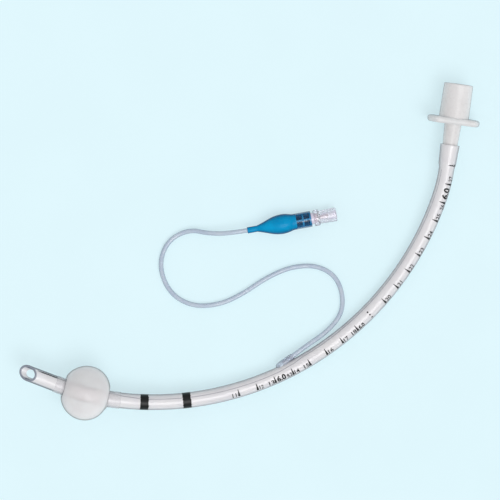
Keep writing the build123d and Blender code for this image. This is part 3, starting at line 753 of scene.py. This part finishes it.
bevelTurn = math.radians(42)  # how far the bevel's plane leans from the tube
bevelNormal = tubeRun["up"] * math.cos(bevelTurn) - tubeRun["along"] * math.sin(bevelTurn)
bevelPlace = (tubeRun["tip"] - tubeRun["up"] * tubeRun["outerRadius"]) * mm
looks = {
    # clear plasticised PVC, extruded: faintly milky, wet gloss, a painted blue-grey shade at its edges, darkest near
    # the tip, and along the bevel's cut
    "tube": {
        "name": "extrudedClearPvc", "colour": "#fffdff", "hazeColour": "#faf8fc", "rimShadeColour": "#39435a",
        "rimShadeStart": 0.26, "rimShadeFull": 0.7, "rimShadeShare": 1.0,
        "rimShadePlace": tubeRun["tip"] * mm, "rimShadeEnd": (0.03, 0.07, 0.55),  # strongest up to, weaker from, how much is left
        "cutShadeColour": "#66738c", "cutNormal": bevelNormal, "cutHeight": bevelPlace.dot(bevelNormal),
        "hazeSize": 9.0, "grainSize": 1.6, "roughness": (0.17, 0.26), "bumpStrength": 0.06,
        "ior": 1.53, "transmission": 0.3,
    },
    # thin polyurethane, blown to size: frosted, soft sheen, a painted dark shade only at its very outline
    "cuff": {
        "name": "blownFrostedFilm", "colour": "#fffbfb", "hazeColour": "#fdf8f9", "rimShadeColour": "#2e3237",
        "rimShadeStart": 0.62, "rimShadeFull": 0.92, "rimShadeShare": 0.9, "film": (0.33, 0.9),
        "hazeSize": 6.0, "grainSize": 2.0, "roughness": (0.26, 0.36), "bumpStrength": 0.1,
        "ior": 1.45, "transmission": 0.0,
    },
    # the same film where it is bonded on the tube: clear, a little duller than the tube, with a painted grey shade at
    # its edges
    "collar": {
        "name": "bondedClearFilm", "colour": "#fbfafc", "hazeColour": "#f5f4f7", "rimShadeColour": "#5b6270",
        "rimShadeStart": 0.5, "rimShadeFull": 0.9, "rimShadeShare": 0.7, "film": (0.08, 0.4),
        "hazeSize": 3.0, "grainSize": 1.0, "roughness": (0.15, 0.3), "bumpStrength": 0.3,
        "ior": 1.5, "transmission": 0.0,
    },
    # natural polypropylene, injection moulded: milky, satin, light comes through it a little, with a painted grey shade
    # at its edges
    "connector": {
        "name": "mouldedMilkyPolypropylene", "colour": "#f7f4f4", "hazeColour": "#f2efef", "rimShadeColour": "#767b83",
        "rimShadeStart": 0.55, "rimShadeFull": 1.0, "rimShadeShare": 0.85, "film": (0.62, 1.0),
        "hazeSize": 7.0, "grainSize": 1.4, "roughness": (0.24, 0.34), "bumpStrength": 0.1,
        "ior": 1.49, "transmission": 0.0,
    },
    # a cured drop of clear adhesive: glossy, pale blue, with a painted bluish shade towards its edges
    "bond": {
        "name": "curedClearAdhesive", "colour": "#e2e8f4", "hazeColour": "#d3dcec", "rimShadeColour": "#4a577c",
        "rimShadeStart": 0.45, "rimShadeFull": 0.95, "rimShadeShare": 0.7,
        "hazeSize": 2.0, "grainSize": 0.9, "roughness": (0.16, 0.24), "bumpStrength": 0.1,
        "ior": 1.48, "transmission": 0.65,
    },
    # thin vinyl line, extruded: pale blue, with a painted shade at its edges, so it is lighter along its middle
    "line": {
        "name": "extrudedLineVinyl", "colour": "#d0dbe9", "hazeColour": "#c3d0e3", "rimShadeColour": "#687b98",
        "rimShadeStart": 0.3, "rimShadeFull": 0.92, "rimShadeShare": 0.9,
        "hazeSize": 4.0, "grainSize": 0.8, "roughness": (0.1, 0.2), "bumpStrength": 0.08,
        "ior": 1.53, "transmission": 0.25,
    },
    # blue vinyl, blown and welded: clear enough to show the stem in its sleeve, with a painted dark blue shade towards
    # its sides
    "balloon": {
        "name": "blownBlueVinyl", "colour": "#009ed4", "hazeColour": "#008fc6", "rimShadeColour": "#003c6a",
        "rimShadeStart": 0.02, "rimShadeFull": 0.8, "rimShadeShare": 0.97, "film": (0.94, 1.0),
        "hazeSize": 7.0, "grainSize": 2.2, "roughness": (0.2, 0.3), "bumpStrength": 0.1,
        "ior": 1.45, "transmission": 0.0,
        "specular": 0.14,
    },
    # the same vinyl in the sleeve, stretched over the stem: thinner to the eye, so the stem's ribs and windows show,
    # with a painted dark blue shade at its edges
    "sleeve": {
        "name": "stretchedBlueVinyl", "colour": "#0a6fa8", "hazeColour": "#04649c", "rimShadeColour": "#004a80",
        "rimShadeStart": 0.4, "rimShadeFull": 0.95, "rimShadeShare": 0.9, "film": (0.07, 0.75),
        "hazeSize": 4.0, "grainSize": 1.4, "roughness": (0.12, 0.2), "bumpStrength": 0.2,
        "ior": 1.45, "transmission": 0.0,
        "specular": 0.3,
    },
    # clear polycarbonate, injection moulded: faintly violet, sharp gloss, a painted dark violet shade at its edges
    "valve": {
        "name": "mouldedClearPolycarbonate", "colour": "#fffaff", "hazeColour": "#fdf5fe", "rimShadeColour": "#3c2f58",
        "rimShadeStart": 0.45, "rimShadeFull": 0.92, "rimShadeShare": 0.95,
        "hazeSize": 3.0, "grainSize": 0.8, "roughness": (0.04, 0.09), "bumpStrength": 0.06,
        "ior": 1.5, "transmission": 0.85,
    },
    # the same polycarbonate in the ribbed stem: pale ribs round windows given a painted dark shade, painted blue light
    # under the sleeve, and a painted shade at its edges
    "stem": {
        "name": "mouldedClearStem", "colour": "#f4eefa", "hazeColour": "#ece4f5", "rimShadeColour": "#40345c",
        "rimShadeStart": 0.5, "rimShadeFull": 1.0, "rimShadeShare": 0.7,
        "windowShadeColour": "#001d3c", "windowRadius": 3.2, "windowEnd": 33.7, "paintedSleeveLight": "#3fa6dc",
        "hazeSize": 3.0, "grainSize": 0.8, "roughness": (0.05, 0.12), "bumpStrength": 0.1,
        "ior": 1.5, "transmission": 0.12,
    },
    # silicone rubber, moulded: soft white, matt
    "seal": {
        "name": "mouldedSiliconeRubber", "colour": "#d9d9dc", "hazeColour": "#cdcdd1",
        "hazeSize": 1.0, "grainSize": 0.2, "roughness": (0.5, 0.65), "bumpStrength": 0.2,
        "ior": 1.41, "transmission": 0.15,
    },
    # acetal, injection moulded: dense white, smooth
    "plunger": {
        "name": "mouldedWhiteAcetal", "colour": "#f7f7f8", "hazeColour": "#f0f0f2",
        "hazeSize": 1.5, "grainSize": 0.25, "roughness": (0.28, 0.4), "bumpStrength": 0.1,
        "ior": 1.48, "transmission": 0.0,
    },
    # stainless spring wire, drawn: bright, with fine lines
    "spring": {
        "name": "drawnSpringSteel", "colour": "#b9bbbf", "hazeColour": "#a3a5aa",
        "hazeSize": 0.8, "grainSize": 0.12, "roughness": (0.18, 0.32), "bumpStrength": 0.2,
        "ior": 1.5, "transmission": 0.0,
        "metallic": 1.0,
    },
    # black ink, pad printed and dried: dense, with a little gloss and thinner patches
    "ink": {
        "name": "padPrintedBlackInk", "colour": "#040405", "hazeColour": "#0d0d0f",
        "hazeSize": 0.7, "grainSize": 0.25, "roughness": (0.3, 0.5), "bumpStrength": 0.3,
        "ior": 1.5, "transmission": 0.0,
        "specular": 0.35,
    },
    # painted shade of the inflation lumen, on the tube's skin: grey, black near the tip, as glossy as the tube
    "stripe": {
        "name": "paintedLumenShade", "colour": "#b4b3bc", "hazeColour": "#c1c0c8", "tipShadeColour": "#17181d",
        "tipPlace": tubeRun["tip"] * mm, "tipEnd": (0.018, 0.032),
        "hazeSize": 6.0, "grainSize": 0.5, "roughness": (0.1, 0.2), "bumpStrength": 0.1,
        "ior": 1.53, "transmission": 0.2,
    },
    # paper, coated: even and matt
    "floor": {
        "name": "coatedPaper", "colour": "#e1f8fe", "hazeColour": "#e0f7fd",
        "hazeSize": 40.0, "grainSize": 0.6, "roughness": (0.85, 0.95), "bumpStrength": 0.05,
        "ior": 1.45, "transmission": 0.0,
        "specular": 0.0, "glow": 0.62,
    },
}

materials = {piece: plasticMaterial(look) for piece, look in looks.items()}
for piece in inkPieces:
    giveMaterial(piece, materials["ink"])
giveMaterial(stripe, materials["stripe"])
giveMaterial(cuffFilm, materials["cuff"], materials["collar"])
giveMaterial(balloonFilm, materials["balloon"], materials["sleeve"])
giveMaterial(line, materials["line"])
nodeLooks = {
    "tube_shaft": "tube", "connector": "connector", "line_bond": "bond", "valve_stem": "stem",
    "valve_barrel": "valve", "valve_seal": "seal", "valve_plunger": "plunger", "valve_spring": "spring",
    "cuff": "cuff", "pilot_balloon": "balloon", "pilot_line": "line",
}
for node, look in nodeLooks.items():
    giveMaterial(nodes[node], materials[look])
giveMaterial(coil, materials["spring"])
print("materials done")

# a pale floor, a white sky that is dimmer towards the horizon, and one wide soft key from the lower right
studio = {
    "floorSize": 3.0,  # metres
    "floorHeight": -0.0002,  # just under the object, so that no face lies in another
    "skyLow": 0.35,
    "skyHigh": 0.8,
    "keyShare": 0.35,  # of the light on the floor
    "keyFrom": Vector((0.3, -0.4, 1.0)),
    "keyAngle": math.radians(36),
    "background": "#e1f8fe",
}

floorData = bpy.data.meshes.new("floor")
half = studio["floorSize"] / 2
floorCorners = [(-half, -half, 0), (half, -half, 0), (half, half, 0), (-half, half, 0)]
floorData.from_pydata(floorCorners, [], [(0, 1, 2, 3)])
floor = link(bpy.data.objects.new("floor", floorData))
floor.location.z = studio["floorHeight"]
giveMaterial(floor, materials["floor"])

world = bpy.data.worlds.new("studio")
bpy.context.scene.world = world
world.use_nodes = True
sky = world.node_tree
sky.nodes.clear()
direction = addNode(sky, "ShaderNodeTexCoord").outputs["Generated"]
height = addNode(sky, "ShaderNodeSeparateXYZ", Vector=direction).outputs["Z"]
strength = addNode(sky, "ShaderNodeMapRange", Value=height, To_Min=studio["skyLow"], To_Max=studio["skyHigh"])
light = addNode(sky, "ShaderNodeBackground", Color=(1, 1, 1, 1), Strength=strength.outputs[0])
backdrop = addNode(sky, "ShaderNodeBackground", Color=hexColour(studio["background"]), Strength=1.0)
seen = addNode(sky, "ShaderNodeLightPath").outputs["Is Camera Ray"]
either = addNode(sky, "ShaderNodeMixShader", Fac=seen, i1=light.outputs[0], i2=backdrop.outputs[0])
addNode(sky, "ShaderNodeOutputWorld", Surface=either.outputs[0])

keyData = bpy.data.lights.new("keyLight", "SUN")
keyData.angle = studio["keyAngle"]
keyData.energy = studio["keyShare"] * math.pi / studio["keyFrom"].normalized().z
key = link(bpy.data.objects.new("keyLight", keyData))
key.rotation_euler = (-studio["keyFrom"]).to_track_quat("-Z", "Y").to_euler()

bpy.context.scene.view_settings.view_transform = "Standard"
print("studio done")

bpy.context.view_layer.update()
